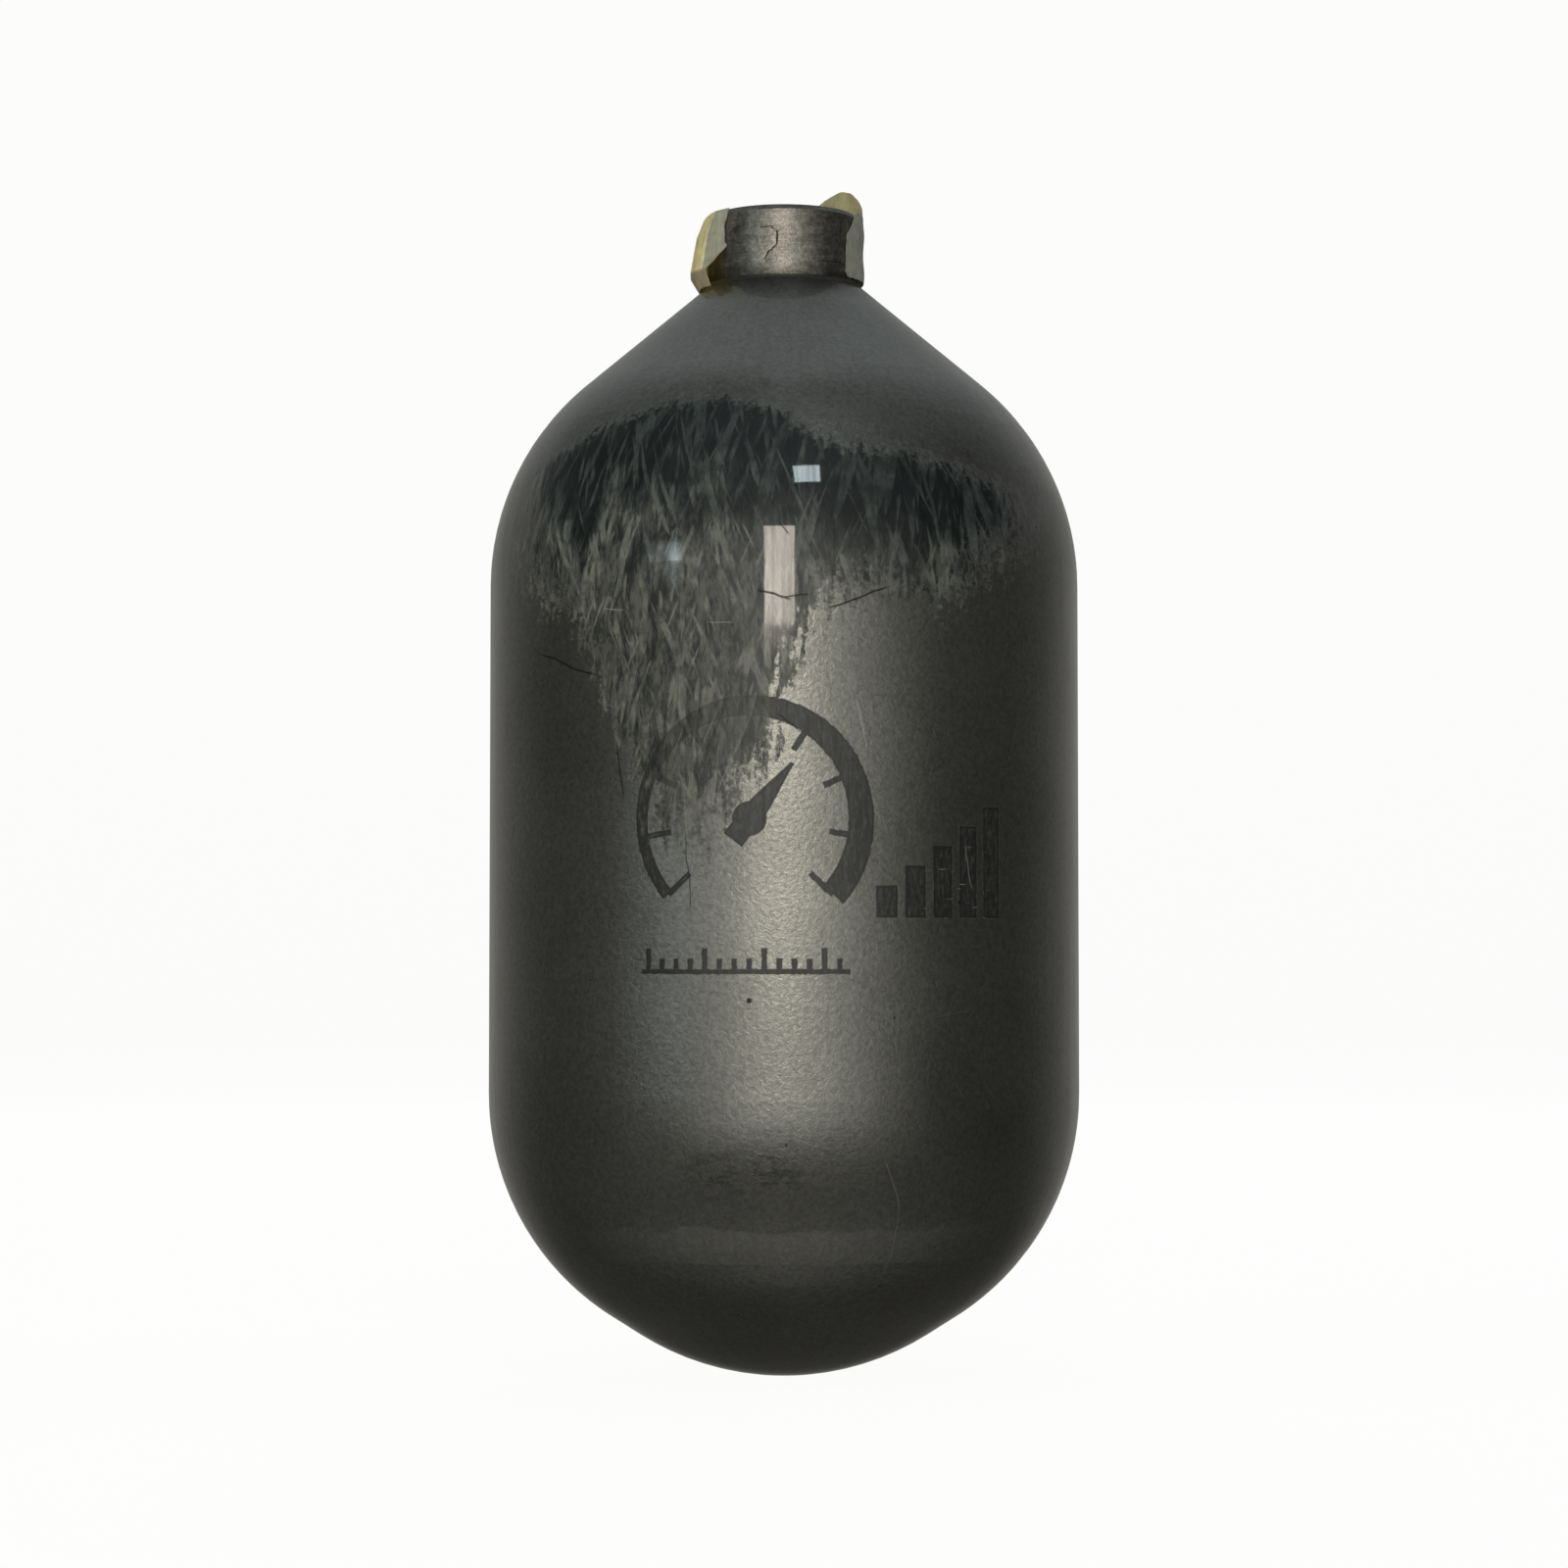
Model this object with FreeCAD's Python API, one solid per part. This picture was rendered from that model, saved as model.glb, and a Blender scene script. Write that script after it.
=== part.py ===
"""Composite compressed-air cylinder, sold bare, without its regulator.

A seamless aluminium liner with a threaded neck is wound with carbon and glass plies, closed at the
base by a filler plug, and finished in a gel coat that holds the data label. Torn masking tape is
left around the bare neck.

Millimetres. +Z runs up the cylinder's axis and the origin is the lowest point of the base. The
decorated front faces -Y, and the data label faces +Y. Angles round the axis, called bearings here,
are in degrees: 0 is the front (-Y) and 90 is the right-hand side (+X).
"""

import FreeCAD, Part
import math
import os

from FreeCAD import Vector

# Finished outside of the cylinder
BARREL_R = 54.5
BARREL_LENGTH = 93.3
KNUCKLE_R = 48.4        # arc that turns the barrel into each dome
SHOULDER_SWEEP = 50.0   # degrees of that arc before the straight shoulder cone
BASE_SWEEP = 57.5       # degrees of that arc before the short base cone
BASE_CROWN_R = 50.0     # arc across the base
RIM_Z = 215.0
NECK_R = 14.3
NECK_FILLET_R = 1.0     # resin fillet where the gel coat meets the neck

# Plies from the outside in. A hoop ply lies on the barrel only, and feathers out on the knuckles.
PLIES = (
    ("gel_coat", 0.30, "cover"),
    ("glass_wrap", 0.50, "helical"),
    ("outer_helical_wrap", 0.70, "helical"),
    ("outer_hoop_wrap", 0.85, "hoop"),
    ("middle_helical_wrap", 0.55, "helical"),
    ("inner_hoop_wrap", 1.00, "hoop"),
    ("inner_helical_wrap", 0.55, "helical"),
    ("barrier_wrap", 0.25, "cloth"),
)
HOOP_SWEEP = 36.0       # degrees of knuckle over which a hoop ply feathers out
HOOP_END_SWEEP = 25.0   # where it is cut off, while it is still thick enough to lay
POLAR_PILE_UP = 0.8     # degrees of flatter shoulder for each mm of depth, as tows pile up at the neck
POLAR_OPEN_R = 8.0      # hole that helical plies leave at the base

# Liner
LINER_WALL = 2.35
GAS_SHOULDER_FLATTER = 10.0  # degrees by which the gas space's shoulder is flatter, so the neck is thick
GAS_MOUTH_R = 2.5            # rounding between the gas space's shoulder and the bore
RIM_CHAMFER = 1.0

# Neck port, 5/8-18 UNF with a counterbore for the regulator's O-ring
THREAD_MAJOR_R = 15.875 / 2
THREAD_MINOR_R = 7.25
THREAD_PITCH = 25.4 / 18
THREAD_FLANK_DEG = 30.0
ROOT_FLAT_SHARE = 1 / 8   # of the pitch
CUTTER_OVERLAP = 0.3      # how far the thread cutter reaches into the bore's empty space
LEAD_CHAMFER = 0.8
COUNTERBORE_R = 9.2
COUNTERBORE_DEPTH = 2.2
MOUTH_CHAMFER = 0.6

# Data label on the back, laid flush in the gel coat
LABEL_THICKNESS = 0.12
LABEL_WIDTH_DEG = 62.0
LABEL_HEIGHT = 40.0
LABEL_MID_Z = 98.0
LABEL_CORNER_R = 3.0

# Masking tape. It clears the neck by a hair, because its glue is not modelled.
TAPE_GAP = 0.03
TAPE_THICKNESS = 0.25
TAPE_LOW_Z = 202.4
TAPE_LEFT = (-183.0, -52.0)
TAPE_RIGHT = (51.0, 175.0)
TORN_LEFT_BEARING = -66.0
TORN_LEFT = ((-3.6, 203.0), (4.5, 207.4), (4.5, 201.5), (-3.6, 201.5))   # (across, Z) corners
TORN_RIGHT_BEARING = 58.0
TORN_RIGHT = ((-3.0, 211.6), (2.4, 215.1), (2.4, 216.3), (-3.0, 216.3))  # (across, Z) corners
TONGUE_BEARING = 136.0   # middle of the tongue that stands above the rim
TONGUE_HALF_WIDTH = 9.5
TONGUE_RISE = 7.2
PLEAT = (-120.0, -62.0)  # stretch where the left piece stands off the neck
PLEAT_SIDE_DEG = 1.2
PLEAT_FOLD = ((TAPE_LOW_Z, 2.2), (203.6, 3.0), (210.5, 1.8), (RIM_Z, 0.0))   # (Z, stand-off) corners

CENTRE_R = BARREL_R - KNUCKLE_R
Z_AXIS = Vector(0, 0, 1)


def cosd(angle):
    return math.cos(math.radians(angle))


def sind(angle):
    return math.sin(math.radians(angle))


def base_geometry():
    """Height of the lower end of the barrel, with the base's lowest point at Z 0."""
    knuckle_end_r = CENTRE_R + KNUCKLE_R * cosd(BASE_SWEEP)
    cone = (knuckle_end_r - BASE_CROWN_R * cosd(BASE_SWEEP)) / sind(BASE_SWEEP)
    crown_rise = BASE_CROWN_R * (1 - sind(BASE_SWEEP))
    return crown_rise + cone * cosd(BASE_SWEEP) + KNUCKLE_R * sind(BASE_SWEEP)


LOW_Z = base_geometry()
HIGH_Z = LOW_Z + BARREL_LENGTH


def point(r, z):
    return Vector(r, 0, z)


def on_circle(centre, radius, angle):
    """Point of a circle in the XZ plane, with angle 0 pointing away from the cylinder's axis."""
    return point(centre.x + radius * cosd(angle), centre.z + radius * sind(angle))


class Path:
    """A chain of lines and arcs in the XZ plane."""

    def __init__(self, start):
        self.start = start
        self.end = start
        self.edges = []

    def line_to(self, target):
        if (target - self.end).Length > 1e-7:
            self.edges.append(Part.makeLine(self.end, target))
            self.end = target
        return self

    def arc(self, centre, radius, from_angle, to_angle):
        """A straight run to the arc's start, if it isn't there yet, then the arc."""
        self.line_to(on_circle(centre, radius, from_angle))
        if abs(to_angle - from_angle) > 1e-6:
            middle = on_circle(centre, radius, (from_angle + to_angle) / 2)
            target = on_circle(centre, radius, to_angle)
            self.edges.append(Part.Arc(self.end, middle, target).toShape())
            self.end = target
        return self

    def solid(self):
        """Closes the outline and turns it about the cylinder's axis."""
        self.line_to(self.start)
        face = Part.Face(Part.Wire(Part.__sortEdges__(self.edges)))
        solid = face.revolve(Vector(0, 0, 0), Z_AXIS, 360)
        if solid.Volume < 0:
            solid.reverse()
        return solid


class Contour:
    """Boundary between two plies, from the base up to the neck.

    depth is how far it lies inside the finished surface on the domes, and hoop is the extra depth
    on the barrel, where hoop plies lie outside it. Where hoop plies feather out, a smaller knuckle
    arc runs into the dome's own knuckle without a corner. flatter is added to the pile-up at the
    neck, in degrees.
    """

    def __init__(self, depth, hoop=0.0, flatter=0.0):
        self.knuckle = KNUCKLE_R - depth
        self.crown = BASE_CROWN_R - depth
        self.sweep = SHOULDER_SWEEP + POLAR_PILE_UP * depth + flatter
        self.crown_centre = point(0, BASE_CROWN_R)
        self.low_centre = point(CENTRE_R, LOW_Z)
        self.high_centre = point(CENTRE_R, HIGH_Z)
        shrink = hoop / (1 - cosd(HOOP_SWEEP))
        self.hoop_knuckle = self.knuckle - shrink
        self.low_hoop_centre = on_circle(self.low_centre, shrink, -HOOP_SWEEP)
        self.high_hoop_centre = on_circle(self.high_centre, shrink, HOOP_SWEEP)

    def crown_angle(self, r):
        """Angle on the crown arc at distance r from the axis."""
        return -math.degrees(math.acos(r / self.crown))

    def shoulder_z(self, r, above=0.0):
        """Height at distance r from the axis of a line that lies above the shoulder cone."""
        reach = self.knuckle + above - (r - CENTRE_R) * cosd(self.sweep)
        return HIGH_Z + reach / sind(self.sweep)

    def base_point(self, r):
        return on_circle(self.crown_centre, self.crown, self.crown_angle(r))

    def neck_point(self, r=NECK_R):
        return point(r, self.shoulder_z(r))

    def climb(self, path, base_r=0.0):
        """Adds this contour to a path, from the base to the start of the shoulder cone."""
        path.arc(self.crown_centre, self.crown, self.crown_angle(base_r), -BASE_SWEEP)
        path.arc(self.low_centre, self.knuckle, -BASE_SWEEP, -HOOP_SWEEP)
        path.arc(self.low_hoop_centre, self.hoop_knuckle, -HOOP_SWEEP, 0)
        path.arc(self.high_hoop_centre, self.hoop_knuckle, 0, HOOP_SWEEP)
        return path.arc(self.high_centre, self.knuckle, HOOP_SWEEP, self.sweep)

    def descend(self, path, base_r=0.0):
        """Adds this contour to a path, from the neck to the base."""
        path.line_to(self.neck_point())
        path.arc(self.high_centre, self.knuckle, self.sweep, HOOP_SWEEP)
        path.arc(self.high_hoop_centre, self.hoop_knuckle, HOOP_SWEEP, 0)
        path.arc(self.low_hoop_centre, self.hoop_knuckle, 0, -HOOP_SWEEP)
        path.arc(self.low_centre, self.knuckle, -HOOP_SWEEP, -BASE_SWEEP)
        return path.arc(self.crown_centre, self.crown, -BASE_SWEEP, self.crown_angle(base_r))

    def round_up(self, path, wall_r, radius):
        """Ends a climb with an arc from the shoulder cone into an upright wall at wall_r."""
        centre_r = wall_r + radius
        centre = point(centre_r, self.shoulder_z(centre_r, above=radius))
        return path.arc(centre, radius, 180 + self.sweep, 180)


def turned(outline, start=0.0, end=360.0):
    """Solid swept about the axis by a closed outline of (r, z) corners, between two bearings."""
    corners = [point(r, z) for r, z in outline]
    face = Part.Face(Part.makePolygon(corners + corners[:1]))
    face.rotate(Vector(0, 0, 0), Z_AXIS, start - 90)
    solid = face.revolve(Vector(0, 0, 0), Z_AXIS, end - start)
    if solid.Volume < 0:
        solid.reverse()
    return solid


def ply_stack():
    """[(name, kind, outer contour, inner contour)] from the outside in, then the depths left."""
    stack = []
    depth = hoop = 0.0
    outer = Contour(depth, hoop)
    for name, thickness, kind in PLIES:
        if kind == "hoop":
            hoop += thickness
        else:
            depth += thickness
        inner = Contour(depth, hoop)
        stack.append((name, kind, outer, inner))
        outer = inner
    return stack, depth, hoop


def full_ply(outer, inner, base_r):
    """A ply that runs from the base to the neck, with a hole of radius base_r in the base."""
    path = Path(outer.base_point(base_r))
    outer.climb(path, base_r)
    path.line_to(outer.neck_point())
    return inner.descend(path, base_r).solid()


def hoop_ply(outer, inner):
    """A ply on the barrel, cut off where it has nearly feathered out."""
    end = HOOP_END_SWEEP
    path = Path(on_circle(outer.low_hoop_centre, outer.hoop_knuckle, -end))
    path.arc(outer.low_hoop_centre, outer.hoop_knuckle, -end, 0)
    path.arc(outer.high_hoop_centre, outer.hoop_knuckle, 0, end)
    path.arc(inner.high_hoop_centre, inner.hoop_knuckle, end, 0)
    path.arc(inner.low_hoop_centre, inner.hoop_knuckle, 0, -end)
    return path.solid()


def gel_coat(outer, inner, label):
    """The outer coat, with a resin fillet at the neck and a seat for the flush label."""
    path = outer.climb(Path(outer.base_point(0)))
    outer.round_up(path, NECK_R, NECK_FILLET_R)
    return inner.descend(path).solid().cut(label)


def base_plug(outer, inner):
    """Filler disc in the hole that the helical plies leave at the base."""
    path = Path(outer.base_point(0))
    path.arc(outer.crown_centre, outer.crown, -90, outer.crown_angle(POLAR_OPEN_R))
    path.arc(inner.crown_centre, inner.crown, inner.crown_angle(POLAR_OPEN_R), -90)
    return path.solid()


def gas_space(contour):
    """Inside of the liner, up to the end of the rounded mouth, and the height of that end."""
    path = contour.climb(Path(contour.base_point(0)))
    contour.round_up(path, THREAD_MINOR_R, GAS_MOUTH_R)
    mouth_z = path.end.z
    return path.line_to(point(0, mouth_z)).solid(), mouth_z


def thread_groove(low_z, high_z):
    """Helical groove that runs through the bore and out of both its ends."""
    mouth_r = THREAD_MINOR_R - CUTTER_OVERLAP
    root = THREAD_PITCH * ROOT_FLAT_SHARE / 2
    mouth = root + (THREAD_MAJOR_R - mouth_r) * math.tan(math.radians(THREAD_FLANK_DEG))
    start_z = low_z - THREAD_PITCH
    helix = Part.makeHelix(THREAD_PITCH, high_z - start_z + THREAD_PITCH / 2, THREAD_MINOR_R)
    helix.translate(Vector(0, 0, start_z))
    corners = [
        point(mouth_r, start_z - mouth),
        point(THREAD_MAJOR_R, start_z - root),
        point(THREAD_MAJOR_R, start_z + root),
        point(mouth_r, start_z + mouth),
    ]
    profile = Part.makePolygon(corners + corners[:1])
    return Part.Wire(helix).makePipeShell([profile], True, True)


def port():
    """Counterbore and chamfers at the mouth of the neck, as one cutter."""
    floor_z = RIM_Z - COUNTERBORE_DEPTH
    return turned((
        (0, floor_z - LEAD_CHAMFER),
        (THREAD_MINOR_R, floor_z - LEAD_CHAMFER),
        (THREAD_MINOR_R + LEAD_CHAMFER, floor_z),
        (COUNTERBORE_R, floor_z),
        (COUNTERBORE_R, RIM_Z - MOUTH_CHAMFER),
        (COUNTERBORE_R + MOUTH_CHAMFER * 2, RIM_Z + MOUTH_CHAMFER),
        (0, RIM_Z + MOUTH_CHAMFER),
    ))


def liner(outer, inside, mouth_z):
    """Seamless aluminium liner: closed base, barrel, shoulder, and a neck with a threaded port."""
    path = outer.climb(Path(outer.base_point(0)))
    path.line_to(outer.neck_point())
    path.line_to(point(NECK_R, RIM_Z - RIM_CHAMFER))
    path.line_to(point(NECK_R - RIM_CHAMFER, RIM_Z))
    body = path.line_to(point(0, RIM_Z)).solid()
    bore = Part.makeCylinder(THREAD_MINOR_R, RIM_Z - mouth_z, point(0, mouth_z))
    body = body.cut(inside.fuse(bore)).cut(port())
    return body.cut(thread_groove(mouth_z, RIM_Z - COUNTERBORE_DEPTH))


def data_label():
    """Thin curved label with rounded corners, on the back of the barrel."""
    half_width = BARREL_R * sind(LABEL_WIDTH_DEG / 2)
    plate = Part.makeBox(
        2 * half_width, BARREL_R + 1, LABEL_HEIGHT,
        Vector(-half_width, 0, LABEL_MID_Z - LABEL_HEIGHT / 2),
    )
    corners = [e for e in plate.Edges if abs(e.tangentAt(e.FirstParameter).y) > 0.99]
    plate = plate.makeFillet(LABEL_CORNER_R, corners)
    low, high = LABEL_MID_Z - LABEL_HEIGHT, LABEL_MID_Z + LABEL_HEIGHT
    inner = BARREL_R - LABEL_THICKNESS
    ring = turned(((inner, low), (BARREL_R, low), (BARREL_R, high), (inner, high)))
    return ring.common(plate)


def tape_band(bearings, low, high):
    """A strip of tape that hugs the neck."""
    inner = NECK_R + TAPE_GAP
    outer = inner + TAPE_THICKNESS
    return turned(((inner, low), (outer, low), (outer, high), (inner, high)), *bearings)


def torn_away(bearing, outline):
    """Cutter for a torn corner, with its outline drawn on the neck as seen from that bearing."""
    corners = [Vector(across, 0, z) for across, z in outline]
    cutter = Part.Face(Part.makePolygon(corners + corners[:1])).extrude(Vector(0, -2 * NECK_R, 0))
    cutter.rotate(Vector(0, 0, 0), Z_AXIS, bearing)
    return cutter


def tape_left():
    """The left-hand piece, with a hollow pleat where it has come unstuck."""
    inner = NECK_R + TAPE_GAP
    low, high = PLEAT_FOLD[0][0], PLEAT_FOLD[-1][0]
    swell = [(inner, low)]
    swell += [(inner + TAPE_THICKNESS + stand_off, z) for z, stand_off in PLEAT_FOLD]
    swell += [(inner, high)]
    hollow = [(inner - 1, low - 1), (inner + PLEAT_FOLD[0][1], low - 1)]
    hollow += [(inner + stand_off, z) for z, stand_off in PLEAT_FOLD]
    hollow += [(inner - 1, high)]
    tape = tape_band(TAPE_LEFT, TAPE_LOW_Z, RIM_Z).fuse(turned(swell, *PLEAT))
    tape = tape.cut(turned(hollow, PLEAT[0] + PLEAT_SIDE_DEG, PLEAT[1] - PLEAT_SIDE_DEG))
    return tape.cut(torn_away(TORN_LEFT_BEARING, TORN_LEFT)).removeSplitter()


def tape_right():
    """The right-hand piece, with a rounded tongue that stands above the rim at the back."""
    disc = Part.makeCylinder(
        TONGUE_HALF_WIDTH, 2 * NECK_R, point(0, RIM_Z + TONGUE_RISE - TONGUE_HALF_WIDTH),
        Vector(1, 0, 0),
    )
    disc.rotate(Vector(0, 0, 0), Z_AXIS, TONGUE_BEARING - 90)
    tongue = tape_band((0, 360), RIM_Z - TONGUE_RISE, RIM_Z + TONGUE_RISE).common(disc)
    tape = tape_band(TAPE_RIGHT, TAPE_LOW_Z, RIM_Z).fuse(tongue)
    return tape.cut(torn_away(TORN_RIGHT_BEARING, TORN_RIGHT)).removeSplitter()


def write(name, shape):
    shape.exportStep(os.path.join("parts", name + ".step"))
    print(f"{name}: {len(shape.Solids)} solid, {shape.Volume / 1000:.2f} cm3, valid {shape.isValid()}")


def main():
    os.makedirs("parts", exist_ok=True)
    stack, depth, hoop = ply_stack()
    label = data_label()
    for name, kind, outer, inner in stack:
        if kind == "cover":
            write(name, gel_coat(outer, inner, label))
            plug_outside = inner
        elif kind == "cloth":
            write(name, full_ply(outer, inner, 0))
            plug_inside = outer
        elif kind == "helical":
            write(name, full_ply(outer, inner, POLAR_OPEN_R))
        else:
            write(name, hoop_ply(outer, inner))
    write("base_plug", base_plug(plug_outside, plug_inside))
    inside, mouth_z = gas_space(Contour(depth + LINER_WALL, hoop, GAS_SHOULDER_FLATTER))
    write("liner", liner(Contour(depth, hoop), inside, mouth_z))
    write("data_label", label)
    write("neck_tape_left", tape_left())
    write("neck_tape_right", tape_right())
    print(f"gas space {inside.Volume / 1000:.1f} cm3, and its mouth is at Z {mouth_z:.2f}")


main()
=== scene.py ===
"""Looks for the bare composite air cylinder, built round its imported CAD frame.

Metres in the row frame: +Z up the cylinder's axis, the decorated front faces -Y. Inside the
materials lengths are in millimetres, and places on the cylinder are (bearing, height): bearing 0
is the front and 90 degrees is the right-hand side, and an offset round the barrel is its arc length.
"""

import math

import bpy
import bmesh
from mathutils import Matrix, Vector, noise


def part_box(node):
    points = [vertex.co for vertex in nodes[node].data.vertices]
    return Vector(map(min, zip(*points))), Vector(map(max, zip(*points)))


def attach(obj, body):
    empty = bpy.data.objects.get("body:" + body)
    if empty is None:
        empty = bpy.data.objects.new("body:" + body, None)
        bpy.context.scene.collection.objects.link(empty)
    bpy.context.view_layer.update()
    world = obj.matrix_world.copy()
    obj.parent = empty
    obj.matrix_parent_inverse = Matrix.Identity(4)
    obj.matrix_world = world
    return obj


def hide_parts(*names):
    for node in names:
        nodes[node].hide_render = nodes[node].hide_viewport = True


MM = 0.001

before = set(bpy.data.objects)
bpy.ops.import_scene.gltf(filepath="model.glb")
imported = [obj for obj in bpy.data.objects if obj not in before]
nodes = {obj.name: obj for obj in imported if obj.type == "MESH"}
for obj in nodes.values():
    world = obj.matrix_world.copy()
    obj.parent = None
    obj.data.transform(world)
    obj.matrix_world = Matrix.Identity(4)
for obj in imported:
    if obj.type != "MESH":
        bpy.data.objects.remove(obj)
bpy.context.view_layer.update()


def box_mm(node):
    """Lowest and highest corner of a CAD node, in millimetres."""
    return tuple(corner / MM for corner in map(Vector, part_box(node)))


BARREL_R = box_mm("gel_coat")[1].x
RIM_Z = box_mm("liner")[1].z
NECK_R = 14.3
LABEL_LOW, LABEL_HIGH = box_mm("data_label")
TAPE_FOOT_Z = box_mm("neck_tape_left")[0].z
TONGUE_Z = box_mm("neck_tape_right")[1].z

# The grey coat breaks open over bare fibre between these two edges: (bearing, height)
BREAK_TOP = ((-180, 166), (-110, 165), (-76, 163), (-60, 167), (-47, 171), (-32, 174.4), (-18, 175.6),
             (-8, 175.0), (2, 171.4), (12, 167.2), (28, 164.8), (45, 162.2), (62, 161), (110, 165),
             (180, 166))
BREAK_LOW = ((-180, 143), (-110, 146), (-70, 145), (-50, 141), (-40, 134), (-33, 121), (-26, 104.5),
             (-19, 98.5), (-12, 101.5), (-6.5, 108), (-2, 116), (1.5, 131), (7, 137), (14, 139),
             (30, 140), (45, 146), (70, 149), (110, 147), (180, 143))

# Pale strokes across the break: (tilt in degrees, width, length over width, least noise that shows)
STROKES = (
    (-24, 1.40, 12.0, 0.62),
    (-15, 2.30, 6.0, 0.60),
    (-7, 1.80, 7.0, 0.61),
    (2, 2.70, 4.5, 0.60),
    (9, 1.80, 7.0, 0.61),
    (17, 2.40, 6.0, 0.60),
    (25, 1.40, 12.0, 0.62),
)

# Plain pictogram marks, in which the fibre shows. Centres are (offset round the barrel, height).
GAUGE_CENTRE = (-6.0, 100.5)
GAUGE_R = 19.5
GAUGE_STROKE = (1.1, 2.4)   # half width of its ring at the start and at the end of the scale
GAUGE_SPREAD = 132.0        # degrees from straight up to each end of the scale
GAUGE_TICKS = 9
TICK_HALF = 0.55            # half width
TICK_INNER = 0.72           # share of the ring's radius
NEEDLE_DEG = 38.0           # clockwise from straight up
NEEDLE_TAIL = 0.24          # shares of the ring's radius, from the hub
NEEDLE_TIP = 0.62
NEEDLE_HALF = (2.0, 0.2)    # half width at the hub and towards the tip
HUB_R = 3.0
LEVEL_LEFT = 15.5
LEVEL_FOOT = 83.5
LEVEL_PITCH = 5.4
LEVEL_COUNT = 5
LEVEL_STEP = 3.5            # each bar is this much taller than the one before
LEVEL_FIRST = 1.6           # steps in the height of the first bar
RULE_Z = 74.6
RULE_SPAN = (-25.5, 11.5)
RULE_PITCH = 2.6
RULE_STROKE = (1.9, 1.8)    # height of a stroke, and how much taller every fourth one is
RULE_STROKE_HALF = 0.5
DOT = (-6.0, 69.3, 0.55)    # offset, height and radius of a chip in the paint

# Scratches: (from offset, from height, to offset, to height, half width, strength)
DARK_SCRATCHES = (
    (-49.5, 130.6, -34.9, 125.9, 0.20, 0.75),
    (8.0, 137.0, 18.2, 140.6, 0.26, 0.85),
    (-4.5, 139.9, 1.0, 138.3, 0.30, 0.90),
    (-0.5, 138.6, 4.2, 139.2, 0.24, 0.80),
    (-0.8, 151.5, 0.8, 149.6, 0.22, 0.70),
    (-30.7, 113.8, -29.0, 104.2, 0.20, 0.75),
    (-17.3, 98.1, -16.3, 84.6, 0.18, 0.65),
    (-1.0, 118.6, 3.0, 115.4, 0.22, 0.60),
)
LIGHT_SCRATCHES = (
    (18.4, 41.7, 22.0, 33.0, 0.20, 0.60),
    (22.0, 33.0, 22.6, 21.0, 0.18, 0.45),
    (12.5, 121.0, 14.5, 114.0, 0.30, 0.50),
    (27.5, 66.5, 34.0, 67.5, 0.16, 0.40),
    (30.0, 58.0, 33.0, 52.0, 0.16, 0.35),
    (33.5, 96.0, 35.0, 89.0, 0.16, 0.40),
    (-33.5, 137.5, -29.5, 137.1, 0.16, 0.45),
    (-13.2, 134.5, -9.0, 134.3, 0.14, 0.40),
)

# Label: lengths in from its own edges
LABEL_BORDER = (1.2, 1.9)
LABEL_BAND = (3.0, 8.0)     # solid band, from the top edge
LABEL_BAND_MARGIN = 3.0
LABEL_FOOT = 4.0
LABEL_LINES = (3.5, 10.0)   # ruled lines, from the left edge and the top edge
LABEL_LINES_END = 5.0       # offset from the label's middle, as is the next
LABEL_BOX_START = 8.0
LABEL_BOX = (3.5, 10.5)     # empty box, from the right edge and the top edge
LABEL_LINE_PITCH = 4.6

# Masking tape. Its left piece stands off in a pleat with an upright ridge and a level crease.
TAPE_THICKNESS = 0.22
TAPE_CLEAR = 0.12
TAPE_CRINKLE = 0.05
TAPE_GRID = (150, 36)       # faces round the neck and up it
SHARP_ANGLE = math.radians(35)
TORN_DEPTH = 0.9            # degrees by which a torn end wanders
BELOW_RIM = 0.15            # gap between the tape's upper edge and the rim
RIDGE_BEARING = -59.5
CREASE_Z = 203.8
PLEAT_FOLD = ((200.6, 1.2), (CREASE_Z, 3.1), (210.5, 1.9), (RIM_Z, 0.05))     # (height, stand-off)
LEFT_BACK_END = -183.0
RIGHT_BACK_END = 175.0
TONGUE_MIDDLE = 135.0
TONGUE_HALF = 42.0

# Torn ends beside the bare front of the neck: (share of the tape's height, bearing)
LEFT_TEAR = ((0.0, -59.0), (0.18, -57.0), (0.26, -54.0), (0.40, -48.5), (0.46, -46.5), (0.50, -48.0),
             (0.80, -48.5), (1.0, -44.0))
RIGHT_TEAR = ((0.0, 54.0), (0.08, 51.5), (0.62, 53.0), (0.80, 60.0), (1.0, 66.0))

# Colours, as linear red, green, blue and, where there are four numbers, alpha
COAT_GREY = (0.221, 0.223, 0.205)
FIBRE_DARK = (0.0040, 0.0075, 0.0078, 1)
FIBRE_UPPER = (0.140, 0.170, 0.162, 1)    # pale strokes at the break's top edge
FIBRE_LOWER = (0.200, 0.206, 0.175, 1)    # and far below it
MARK_DARK = (0.005, 0.006, 0.006, 1)
MARK_PALE = (0.072, 0.078, 0.068, 1)
CRACK = (0.006, 0.006, 0.006, 1)
SCRATCH = (0.42, 0.41, 0.38, 1)
ALUMINIUM = (0.30, 0.29, 0.262)
GLUE = (0.070, 0.058, 0.030, 1)
NECK_DARK = (0.016, 0.016, 0.015, 1)
LABEL_FILM = (0.46, 0.455, 0.42)
LABEL_INK = (0.020, 0.022, 0.025, 1)
CARBON = ((0.010, 0.011, 0.012, 1), (0.055, 0.058, 0.060, 1))
GLASS_FIBRE = ((0.22, 0.24, 0.22, 1), (0.46, 0.48, 0.45, 1))
RESIN = ((0.010, 0.010, 0.011, 1), (0.030, 0.030, 0.031, 1))
TAPE_RIGHT = (0.50, 0.505, 0.435, 1)
TAPE_LEFT = (0.53, 0.525, 0.385, 1)
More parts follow.
